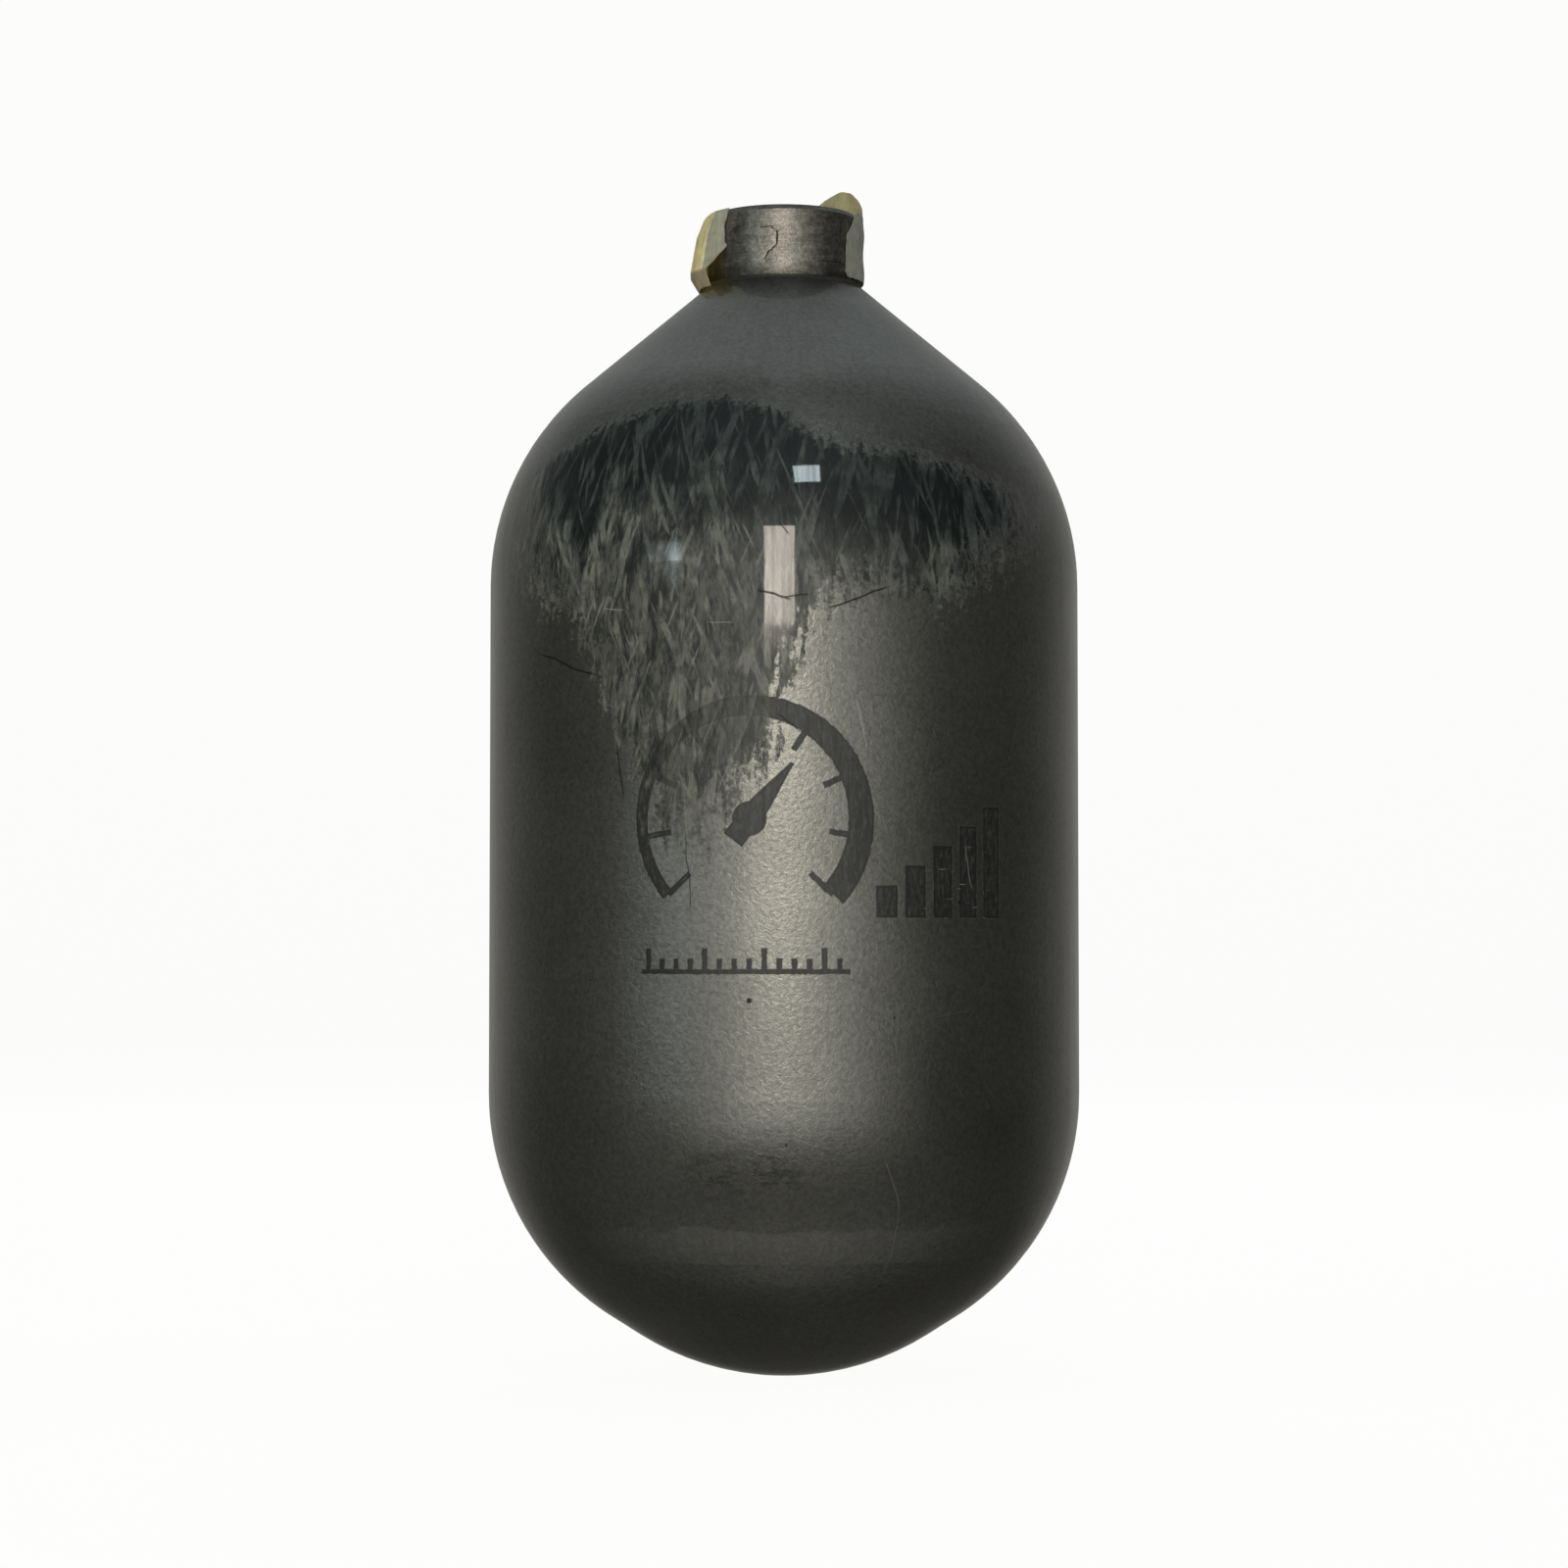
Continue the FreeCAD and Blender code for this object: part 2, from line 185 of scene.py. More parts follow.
# Painted light: the facet behind the ridge, lighter and yellower as if lit from the left
TAPE_PAINTED_LIGHT_BEHIND_RIDGE = (0.92, 0.85, 0.45, 1)
# Painted highlight along the ridge's top
TAPE_RIDGE_PAINTED_HIGHLIGHT = (1.0, 0.97, 0.74, 1)
TAPE_TONGUE = (0.54, 0.50, 0.29, 1)
TAPE_FOLDED = (0.62, 0.56, 0.38, 1)

# The room that the coat mirrors: brightness of its parts
BEHIND_LEVEL = 0.22
WALL_LEVEL = 0.07
FRONT_LEVEL = 0.95
CEILING_LEVEL = 0.077
GROUND_LEVEL = 0.085
FLOOR_EDGE_LEVEL = 0.34
PATCH_LEVELS = (1.2, 7.0)   # the wide and the narrow part of the pale patch at the left
EVERYWHERE_LEVEL = 0.035
WARM = (1.0, 0.98, 0.91, 1)
COOL = (0.90, 0.98, 1.0, 1)
PATCH_TINT = (0.80, 0.95, 1.0, 1)

# Lamps: name, bearing, elevation, distance, size across and up, power, colour, mirrored or not
LAMPS = (
    ("window", -1.7, 12.45, 2.0, (0.40, 0.53), 7.2, (1.0, 0.915, 0.79), True),
    ("skylight", 10.6, 43.0, 2.0, (0.31, 0.26), 3.0, (0.82, 0.95, 1.0), True),
    ("left_fill", -70.0, 20.0, 1.5, (1.0, 1.0), 7.2, (1.0, 0.98, 0.93), False),
    ("right_fill", 95.0, 30.0, 1.5, (1.0, 1.0), 4.0, (0.97, 0.99, 1.0), False),
    ("back_fill", 180.0, 30.0, 1.5, (1.0, 1.0), 5.0, (1.0, 1.0, 1.0), False),
)
LAMP_TARGET_Z = 0.13        # metres, as are the camera's distance and aim

# Stage: a pale sweep for the camera's eye only, so that the light alone shapes the reflections
STAGE_WHITE = (1.0, 1.0, 0.995, 1)
STAGE_LEVEL = 0.955
SWEEP_GREY = (0.06, 0.06, 0.06, 1)
SWEEP_STEPS = 16

# Camera: a long lens, level with the lower barrel and aimed at the middle of the object
CAMERA_DISTANCE = 0.716
CAMERA_AIM_Z = 0.109
CAMERA_RISE = math.radians(2.7)
CAMERA_FIELD = math.radians(23.0)
SENSOR_WIDTH = 36.0


class Graph:
    """Short calls for a node tree. Each takes numbers or sockets, and returns a socket."""

    def __init__(self, tree):
        self.tree = tree

    def node(self, kind, inputs=None, **settings):
        made = self.tree.nodes.new("ShaderNode" + kind)
        for name, value in settings.items():
            setattr(made, name, value)
        for key, value in (inputs or {}).items():
            self.put(made.inputs[key], value)
        return made

    def put(self, socket, value):
        if isinstance(value, bpy.types.NodeSocket):
            self.tree.links.new(value, socket)
        else:
            socket.default_value = value

    def math(self, operation, a, b=0.0, c=0.0):
        return self.node("Math", {0: a, 1: b, 2: c}, operation=operation).outputs[0]

    def chain(self, operation, values):
        total = values[0]
        for value in values[1:]:
            total = self.math(operation, total, value)
        return total

    def add(self, *values):
        return self.chain("ADD", values)

    def sub(self, a, b):
        return self.math("SUBTRACT", a, b)

    def mul(self, *values):
        return self.chain("MULTIPLY", values)

    def high(self, *values):
        return self.chain("MAXIMUM", values)

    def low(self, *values):
        return self.chain("MINIMUM", values)

    def size(self, value):
        return self.math("ABSOLUTE", value)

    def swing(self, value, reach):
        """Noise around 0.5 turned into a push of about reach either way."""
        return self.mul(self.sub(value, 0.5), 4.0 * reach)

    def smooth(self, value, start, end, low=0.0, high=1.0):
        """Smooth step from low to high as value goes from start to end, which may be the lower."""
        inputs = {"Value": value, "From Min": start, "From Max": end, "To Min": low, "To Max": high}
        made = self.node("MapRange", inputs, interpolation_type="SMOOTHSTEP")
        return made.outputs["Result"]

    def between(self, value, low, high, soft):
        """1 where value lies between low and high."""
        return self.mul(
            self.smooth(value, low - soft, low + soft), self.smooth(value, high + soft, high - soft)
        )

    def noise(self, vector, size, detail=2.0, roughness=0.5, distortion=0.0):
        """Noise from 0 to 1, with features about size long in the vector's own units."""
        inputs = {"Vector": vector, "Scale": 1 / size, "Detail": detail, "Roughness": roughness,
                  "Distortion": distortion}
        return self.node("TexNoise", inputs).outputs["Fac"]

    def vector(self, operation, a, b=(0, 0, 0)):
        return self.node("VectorMath", {0: a, 1: b}, operation=operation).outputs["Vector"]

    def mix(self, factor, a, b):
        """Mix of two colours."""
        made = self.node("Mix", data_type="RGBA")
        self.put(made.inputs[0], factor)
        self.put(made.inputs[6], a)
        self.put(made.inputs[7], b)
        return made.outputs[2]

    def shade(self, colour, tone):
        """A colour made lighter or darker by a number."""
        grey = self.node("CombineColor", {0: tone, 1: tone, 2: tone}).outputs[0]
        return self.vector("MULTIPLY", colour, grey)

    def bump(self, height, depth, strength=1.0):
        """Normal of a surface whose height, from 0 to 1, is worth depth in metres."""
        return self.node("Bump", {"Strength": strength, "Distance": depth, "Height": height}).outputs[0]

    def curve(self, value, points, low, high):
        """Smooth curve through (input, output) points. Inputs span -180 to 180."""
        made = self.node("FloatCurve", {"Value": self.add(self.mul(value, 1 / 360), 0.5)})
        curve = made.mapping.curves[0]
        scaled = [(x / 360 + 0.5, (y - low) / (high - low)) for x, y in points]
        for spot, (x, y) in zip(curve.points, (scaled[0], scaled[-1])):
            spot.location = (x, y)
        for x, y in scaled[1:-1]:
            curve.points.new(x, y)
        made.mapping.update()
        return self.add(self.mul(made.outputs["Value"], high - low), low)


class Place(Graph):
    """A graph with places on the cylinder: millimetres, height, bearing and offset round it."""

    def __init__(self, tree, radius=BARREL_R):
        super().__init__(tree)
        self.radius = radius
        coordinates = self.node("TexCoord").outputs["Object"]
        self.point = self.vector("MULTIPLY", coordinates, (1 / MM,) * 3)
        parts = self.node("SeparateXYZ", {0: self.point}).outputs
        self.z = parts["Z"]
        turn = self.math("ARCTAN2", parts["X"], self.mul(parts["Y"], -1))
        self.bearing = self.math("DEGREES", turn)
        self.offset = self.mul(turn, radius)
        back_turn = self.math("ARCTAN2", self.mul(parts["X"], -1), parts["Y"])
        self.back_offset = self.mul(back_turn, radius)
        flat = self.vector("NORMALIZE", self.vector("MULTIPLY", self.point, (1, 1, 0)))
        self.around = self.vector("MULTIPLY", flat, (radius,) * 3)
        self.axis_distance = self.math(
            "SQRT", self.add(self.mul(parts["X"], parts["X"]), self.mul(parts["Y"], parts["Y"]))
        )

    def stretched(self, tilt, length, shift=0.0):
        """Coordinates for streaks that climb the surface at a tilt, length times as long as wide."""
        angle = self.mul(self.z, math.tan(math.radians(tilt)) / self.radius)
        wound = self.node("VectorRotate", {"Vector": self.around, "Angle": angle},
                          rotation_type="Z_AXIS").outputs[0]
        climb = self.node("CombineXYZ", {2: self.add(self.mul(self.z, 1 / length), shift)}).outputs[0]
        return self.vector("ADD", wound, climb)

    def scratch(self, u0, z0, u1, z1, half_width, strength):
        """Mask of one thin, tapering scratch."""
        length = math.hypot(u1 - u0, z1 - z0)
        along_u, along_z = (u1 - u0) / length, (z1 - z0) / length
        du, dz = self.sub(self.offset, u0), self.sub(self.z, z0)
        along = self.add(self.mul(du, along_u), self.mul(dz, along_z))
        across = self.sub(self.mul(dz, along_u), self.mul(du, along_z))
        bow = self.swing(self.noise(self.point, length / 2, 1.0), length * 0.03)
        inside = self.between(along, 0.0, length, length * 0.12)
        return self.mul(
            self.smooth(self.size(self.add(across, bow)), half_width, half_width * 0.3), inside, strength
        )

    def scratches(self, rows):
        return self.high(*[self.scratch(*row) for row in rows])


def new_material(name):
    """A material with its node tree and its Principled BSDF."""
    material = bpy.data.materials.new(name)
    material.use_nodes = True
    return material, material.node_tree, material.node_tree.nodes["Principled BSDF"]


def finish(graph, shader, settings):
    """Sets the shader's inputs, by name, to numbers, colours or sockets."""
    for name, value in settings.items():
        graph.put(shader.inputs[name], value)


# Marks. Each function gives the depth inside its drawing, which is below 0 outside it.
def slab(g, value, low, high):
    """Depth inside a strip from low to high."""
    return g.low(g.sub(value, low), g.sub(high, value))


def gauge_depth(g, u, z):
    """Pressure gauge: an open ring that swells along its scale, with ticks inside it and a needle."""
    x, y = g.sub(u, GAUGE_CENTRE[0]), g.sub(z, GAUGE_CENTRE[1])
    distance = g.math("SQRT", g.add(g.mul(x, x), g.mul(y, y)))
    clockwise = g.math("DEGREES", g.math("ARCTAN2", x, y))
    to_end = g.mul(g.sub(GAUGE_SPREAD, g.size(clockwise)), math.radians(GAUGE_R))
    stroke = g.smooth(clockwise, -GAUGE_SPREAD, GAUGE_SPREAD, *GAUGE_STROKE)
    ring = g.low(g.sub(stroke, g.size(g.sub(distance, GAUGE_R))), to_end)
    pitch = 2 * GAUGE_SPREAD / (GAUGE_TICKS - 1)
    from_tick = g.math("WRAP", clockwise, pitch / 2, -pitch / 2)
    off_tick = g.mul(g.size(from_tick), g.mul(distance, math.pi / 180))
    tick = g.low(g.sub(TICK_HALF, off_tick), slab(g, distance, GAUGE_R * TICK_INNER, GAUGE_R),
                 g.add(to_end, 0.6))
    lean = math.radians(NEEDLE_DEG)
    along = g.add(g.mul(x, math.sin(lean)), g.mul(y, math.cos(lean)))
    across = g.size(g.sub(g.mul(x, math.cos(lean)), g.mul(y, math.sin(lean))))
    half_width = g.smooth(along, 0.0, GAUGE_R * 0.75, *NEEDLE_HALF)
    lengthwise = slab(g, along, -GAUGE_R * NEEDLE_TAIL, GAUGE_R * NEEDLE_TIP)
    needle = g.low(g.sub(half_width, across), lengthwise)
    hub = g.sub(HUB_R, distance)
    return g.high(ring, tick, needle, hub)


def level_depth(g, u, z):
    """Charge level: a row of bars, each taller than the one before."""
    steps = g.mul(g.sub(u, LEVEL_LEFT), 1 / LEVEL_PITCH)
    across = g.mul(g.math("FRACT", steps), LEVEL_PITCH)
    height = g.mul(g.add(g.math("FLOOR", steps), LEVEL_FIRST), LEVEL_STEP)
    above = g.sub(z, LEVEL_FOOT)
    bar = g.low(slab(g, across, 0.6, LEVEL_PITCH - 0.8), above, g.sub(height, above))
    return g.low(bar, slab(g, u, LEVEL_LEFT, LEVEL_LEFT + LEVEL_PITCH * LEVEL_COUNT))


def rule_depth(g, u, z):
    """Graduated rule: a thin line with short strokes on it, every fourth one longer."""
    steps = g.mul(g.sub(u, RULE_SPAN[0]), 1 / RULE_PITCH)
    off_stroke = g.mul(g.size(g.sub(g.math("FRACT", steps), 0.5)), RULE_PITCH)
    fourth = g.math("COMPARE", g.math("FLOORED_MODULO", g.math("FLOOR", steps), 4.0), 0.0, 0.1)
    above = g.sub(z, RULE_Z)
    top = g.add(RULE_STROKE[0], g.mul(fourth, RULE_STROKE[1]))
    stroke = g.low(g.sub(RULE_STROKE_HALF, off_stroke), above, g.sub(top, above))
    return g.low(g.high(stroke, slab(g, above, -0.8, 0.1)), slab(g, u, *RULE_SPAN))


def bare_fibre(g, depth, at_front):
    """Fibre below the coat: dark at the break's top edge, greyer with depth below it.

    Returns its colour, its fine grain, and how much of the pale strokes there is.
    """
    fine = g.noise(g.stretched(2, 3.5), 0.60, 4.0, 0.75)
    clump = g.noise(g.stretched(-5, 3.0, 7.7), 2.4, 4.0, 0.7)
    patch = g.noise(g.point, 8.0, 2.0)
    paler = g.smooth(g.add(depth, g.swing(patch, 8.0)), 5.0, 36.0)
    paler = g.high(paler, g.sub(0.55, g.mul(at_front, 0.55)))
    mottle = g.smooth(g.add(g.mul(fine, 0.45), g.mul(clump, 0.55)), 0.40, 0.62, 0.12, 1.0)
    strokes, gaps = 0.0, 0.0
    for i, (tilt, width, length, least) in enumerate(STROKES):
        grain = g.noise(g.stretched(tilt, length, 13.7 * i), width, 1.5, 0.6)
        strokes = g.high(strokes, g.smooth(grain, least - 0.02, least + 0.07))
        gaps = g.high(gaps, g.smooth(grain, 0.98 - least, 0.88 - least))
    uneven = g.noise(g.point, 4.0, 3.0, 0.6)
    strokes = g.mul(strokes, g.smooth(fine, 0.32, 0.60, 0.50, 1.0),
                    g.smooth(uneven, 0.36, 0.58, 0.45, 1.0), g.smooth(paler, 0.0, 0.9, 0.34, 1.0))
    ground = g.mul(mottle, g.smooth(paler, 0.0, 1.0, 0.05, 0.60), g.sub(1.0, g.mul(gaps, 0.60)))
    amount = g.low(g.high(ground, strokes), 1.0)
    pale = g.mix(paler, FIBRE_UPPER, FIBRE_LOWER)
    return g.mix(amount, FIBRE_DARK, pale), fine, amount


def gel_coat_material():
    """Satin metallic grey that breaks open over bare fibre, under a glossy clear coat."""
    material, tree, shader = new_material("gel_coat")
    g = Place(tree)

    # How far the break is open here, between its soft top edge and its torn lower edge
    torn = g.noise(g.stretched(3, 3.5), 1.4, 5.0, 0.7)
    slip = g.noise(g.stretched(-6, 5.0, 5.3), 2.2, 3.0, 0.65)
    drift = g.noise(g.point, 15.0, 2.0)
    speck = g.noise(g.point, 1.1, 3.0, 0.7)
    depth = g.sub(g.curve(g.bearing, BREAK_TOP, 150, 180), g.z)
    below_top = g.add(depth, g.swing(drift, 1.2), g.swing(speck, 1.3), g.swing(torn, 1.6))
    swayed = g.add(g.bearing, g.swing(slip, 4.5))
    above_low = g.add(g.sub(g.z, g.curve(swayed, BREAK_LOW, 90, 150)), g.swing(torn, 6.0),
                      g.swing(drift, 3.0), g.swing(speck, 5.0))
    side = g.add(g.size(g.add(g.bearing, 4.0)), g.swing(torn, 7.0), g.swing(drift, 6.0))
    at_front = g.smooth(side, 38.0, 66.0, 1.0, 0.0)
    opened = g.mul(g.smooth(below_top, -3.5, 4.5), g.smooth(above_low, -9.0, 10.0))
    opened = g.smooth(g.add(opened, g.swing(speck, 0.16)), 0.10, 0.90)
    opened = g.mul(opened, g.smooth(at_front, 0.0, 0.75, 0.38, 1.0))
    along_edge = g.node("CombineXYZ", {0: g.mul(g.offset, 0.10), 1: g.mul(below_top, 1.5)}).outputs[0]
    hair = g.noise(along_edge, 1.0)
    arcs = g.mul(g.smooth(hair, 0.60, 0.70), g.between(depth, -5.0, 1.0, 3.0), 0.5)

    # Marks with slightly ragged, darker edges
    wobble = g.swing(g.noise(g.point, 0.8, 2.0), 0.10)
    u, z = g.add(g.offset, wobble), g.add(g.z, wobble)
    mark = g.high(gauge_depth(g, u, z), level_depth(g, u, z), rule_depth(g, u, z))
    mark = g.low(mark, g.sub(80.0, g.size(g.bearing)))
    marked = g.smooth(mark, -0.12, 0.12)
    rim = g.mul(marked, g.smooth(mark, 0.55, 0.1))
    bare = g.high(opened, g.mul(marked, 0.93))

    fibre, fine, amount = bare_fibre(g, depth, at_front)
    in_mark = g.mix(g.smooth(g.add(fine, g.mul(rim, -0.4)), 0.42, 0.78), MARK_DARK, MARK_PALE)
    below = g.mix(g.mul(marked, g.sub(1.0, g.mul(opened, 0.5))), fibre, in_mark)

    # Flake and clouds in the grey, with painted shade round the neck's foot and towards the bottom
    flake = g.noise(g.point, 0.85, 2.0, 0.65, 0.6)
    cloud = g.noise(g.point, 26.0, 3.0, 0.55)
    # Painted shade in the crease round the neck's foot
    foot = g.smooth(g.axis_distance, NECK_R + 1.0, NECK_R + 6.0, 0.55, 1.0)
    painted_shade_at_neck_foot = g.high(g.smooth(g.z, RIM_Z - 30, RIM_Z - 40), foot)
    # The last factor is painted shade: the grey darkens towards the bottom, where the highlight fades
    tone = g.mul(g.smooth(flake, 0.25, 0.75, 0.80, 1.22), g.smooth(cloud, 0.3, 0.7, 0.90, 1.08),
                 painted_shade_at_neck_foot, g.smooth(g.z, 38.0, 80.0, 0.82, 1.0))
    colour = g.mix(bare, g.shade(COAT_GREY, tone), below)

    # Pits, a paint chip, cracks, a dirty smear near the base, pale scratches and rubbed nicks
    pits = g.node("TexVoronoi", {"Vector": g.point, "Scale": 1 / 9.0, "Randomness": 1.0})
    pit = g.smooth(pits.outputs["Distance"], 0.035, 0.02, 0.0, 0.8)
    du, dz = g.sub(g.offset, DOT[0]), g.sub(g.z, DOT[1])
    dot = g.smooth(g.math("SQRT", g.add(g.mul(du, du), g.mul(dz, dz))), DOT[2], DOT[2] * 0.7)
    cracks = g.scratches(DARK_SCRATCHES)
    smear = g.noise(g.vector("MULTIPLY", g.point, (0.4, 0.4, 1.0)), 1.6, 4.0, 0.7)
    smear = g.mul(g.smooth(smear, 0.50, 0.58), g.between(g.offset, -17.0, 4.0, 4.0),
                  g.between(g.z, 36.5, 43.0, 1.8), 0.35)
    dark = g.high(cracks, pit, dot, arcs, smear)
    colour = g.mix(dark, colour, CRACK)
    nicks = g.smooth(g.noise(g.vector("MULTIPLY", g.point, (1, 1, 9.0)), 2.6, 1.0), 0.70, 0.76)
    worn = g.mul(g.between(g.offset, 25.0, 38.0, 3.0), g.between(g.z, 62.0, 113.0, 5.0))
    light = g.high(g.scratches(LIGHT_SCRATCHES), g.mul(nicks, worn, 0.6))
    colour = g.mix(light, colour, SCRATCH)

    print_through = g.noise(g.stretched(0, 30.0), 0.7, 2.0, 0.6)
    # The painted shade at the neck's foot also thins the clear coat there
    gloss = g.mul(g.smooth(print_through, 0.3, 0.65, 0.65, 1.0), painted_shade_at_neck_foot, g.sub(1.0, cracks))
    ripple = g.noise(g.point, 9.0, 1.0)
    finish(g, shader, {
        "Base Color": colour,
        "Metallic": g.smooth(bare, 0.0, 1.0, 0.88, 0.0),
        "Roughness": g.smooth(bare, 0.0, 1.0, 0.35, 0.55),
        "Specular IOR Level": 0.3,
        "Normal": g.bump(g.mix(bare, flake, amount), 0.0002, 0.35),
        "Coat Weight": gloss,
        "Coat Roughness": 0.045,
        "Coat IOR": 1.5,
        "Coat Normal": g.bump(ripple, 0.0002, 0.14),
    })
    return material


def liner_material():
    """Turned aluminium, dulled and stained, with fine rings, traces of old tape glue and painted shade at
    its foot.
    """
    material, tree, shader = new_material("liner")
    g = Place(tree, NECK_R)
    rings = g.noise(g.vector("MULTIPLY", g.point, (0.05, 0.05, 1.0)), 0.22, 3.0, 0.7)
    broad = g.noise(g.vector("MULTIPLY", g.point, (0.25, 0.25, 1.0)), 1.6, 2.0)
    stain = g.noise(g.point, 2.0, 4.0, 0.7)
    mottle = g.noise(g.point, 0.55, 3.0, 0.65)
    tone = g.mul(g.smooth(rings, 0.25, 0.75, 0.78, 1.16), g.smooth(broad, 0.3, 0.7, 0.85, 1.1),
                 g.smooth(stain, 0.35, 0.70, 0.72, 1.15), g.smooth(mottle, 0.3, 0.7, 0.75, 1.25))
    metal = g.shade(ALUMINIUM, tone)

    # A paler patch ending in a dark line, a brownish glue mark beside the left tape, a nick, and painted
    # shade round the neck's foot where it meets the gel coat
    sway = g.swing(g.noise(g.point, 0.7, 2.0), 0.12)
    u, z = g.add(g.offset, sway), g.add(g.z, g.swing(stain, 0.35))
    under_rim = g.sub(RIM_Z, z)
    edge = g.add(g.smooth(under_rim, 4.6, 5.0, -2.2, -1.3), g.smooth(under_rim, 7.0, 10.2, 0.0, -2.2))
    past_edge = g.sub(u, edge)
    patch = g.mul(g.between(under_rim, 4.2, 11.0, 0.5), g.smooth(u, -8.2, -4.5),
                  g.smooth(past_edge, 0.1, -0.1))
    line = g.mul(g.smooth(g.size(past_edge), 0.26, 0.08), g.between(under_rim, 4.4, 10.2, 0.25))
    cap = g.mul(g.smooth(g.size(g.sub(under_rim, 4.4)), 0.22, 0.06), g.between(u, -4.6, -1.9, 0.3), 0.7)
    nick = g.mul(g.smooth(g.size(g.sub(under_rim, 10.3)), 0.22, 0.06),
                 g.between(u, 6.4, 12.8, 0.6), 0.55)
    glue = g.mul(g.between(u, -13.2, -9.6, 1.2), g.smooth(under_rim, 9.5, 2.0), g.smooth(stain, 0.3, 0.6))
    # Painted shade in the crease where the neck meets the gel coat
    painted_shade_at_foot = g.smooth(under_rim, 10.6, 13.2, 0.0, 0.50)
    metal = g.shade(metal, g.smooth(patch, 0.0, 1.0, 1.0, 1.35))
    metal = g.mix(g.mul(glue, 0.85), metal, GLUE)
    metal = g.mix(g.high(line, cap, nick, painted_shade_at_foot), metal, NECK_DARK)
    finish(g, shader, {
        "Base Color": metal,
        "Metallic": g.smooth(glue, 0.0, 1.0, 0.93, 0.3),
        "Roughness": g.smooth(stain, 0.3, 0.7, 0.34, 0.48),
        "Normal": g.bump(g.add(rings, mottle), 0.0001, 0.5),
    })
    return material


def ply_material(name, dark, light, tilt):
    """Fibre tows laid at a tilt, in resin."""
    material, tree, shader = new_material(name)
    g = Place(tree)
    tow = g.noise(g.stretched(tilt, 30.0), 1.4, 3.0, 0.6)
    other = g.noise(g.stretched(-tilt, 30.0), 1.8, 3.0, 0.6)
    finish(g, shader, {
        "Base Color": g.mix(g.smooth(g.high(tow, other), 0.4, 0.75), dark, light),
        "Roughness": g.smooth(tow, 0.3, 0.7, 0.35, 0.5),
        "Normal": g.bump(tow, 0.0002, 0.3),
    })
    return material


def label_material():
    """Printed film with a border and blank ruled fields, slightly yellowed and scuffed."""
    material, tree, shader = new_material("label_film")
    g = Place(tree)
    half = BARREL_R * math.asin(LABEL_HIGH.x / BARREL_R)
    middle = (LABEL_LOW.z + LABEL_HIGH.z) / 2
    half_height = (LABEL_HIGH.z - LABEL_LOW.z) / 2
    u, v = g.back_offset, g.sub(g.z, middle)
    inset = g.low(g.sub(half, g.size(u)), g.sub(half_height, g.size(v)))
    border = g.between(inset, *LABEL_BORDER, 0.06)
    band = g.low(slab(g, v, half_height - LABEL_BAND[1], half_height - LABEL_BAND[0]),
                 slab(g, u, LABEL_BAND_MARGIN - half, half - LABEL_BAND_MARGIN))
    row = g.math("FRACT", g.mul(g.add(v, half_height), 1 / LABEL_LINE_PITCH))
    ruled = g.low(slab(g, v, LABEL_FOOT - half_height, half_height - LABEL_LINES[1]),
                  slab(g, u, LABEL_LINES[0] - half, LABEL_LINES_END))
    rows = g.mul(g.smooth(ruled, 0.0, 0.1), g.between(row, 0.03, 0.09, 0.012))
    box = g.low(slab(g, v, LABEL_FOOT - half_height, half_height - LABEL_BOX[1]),
                slab(g, u, LABEL_BOX_START, half - LABEL_BOX[0]))
    outline = g.between(box, 0.05, 0.55, 0.06)
    ink = g.high(border, g.smooth(band, 0.0, 0.12), rows, outline)
    wear = g.noise(g.point, 2.2, 4.0, 0.7)
    ink = g.mul(ink, g.smooth(wear, 0.28, 0.42, 0.35, 0.95))
    film = g.shade(LABEL_FILM, g.smooth(g.noise(g.point, 7.0, 4.0, 0.6), 0.3, 0.7, 0.82, 1.06))
    finish(g, shader, {
        "Base Color": g.mix(ink, film, LABEL_INK),
        "Roughness": g.smooth(wear, 0.3, 0.7, 0.30, 0.5),
        "Normal": g.bump(wear, 0.0001, 0.3),
        "Coat Weight": 1.0,
        "Coat Roughness": 0.06,
    })
    return material


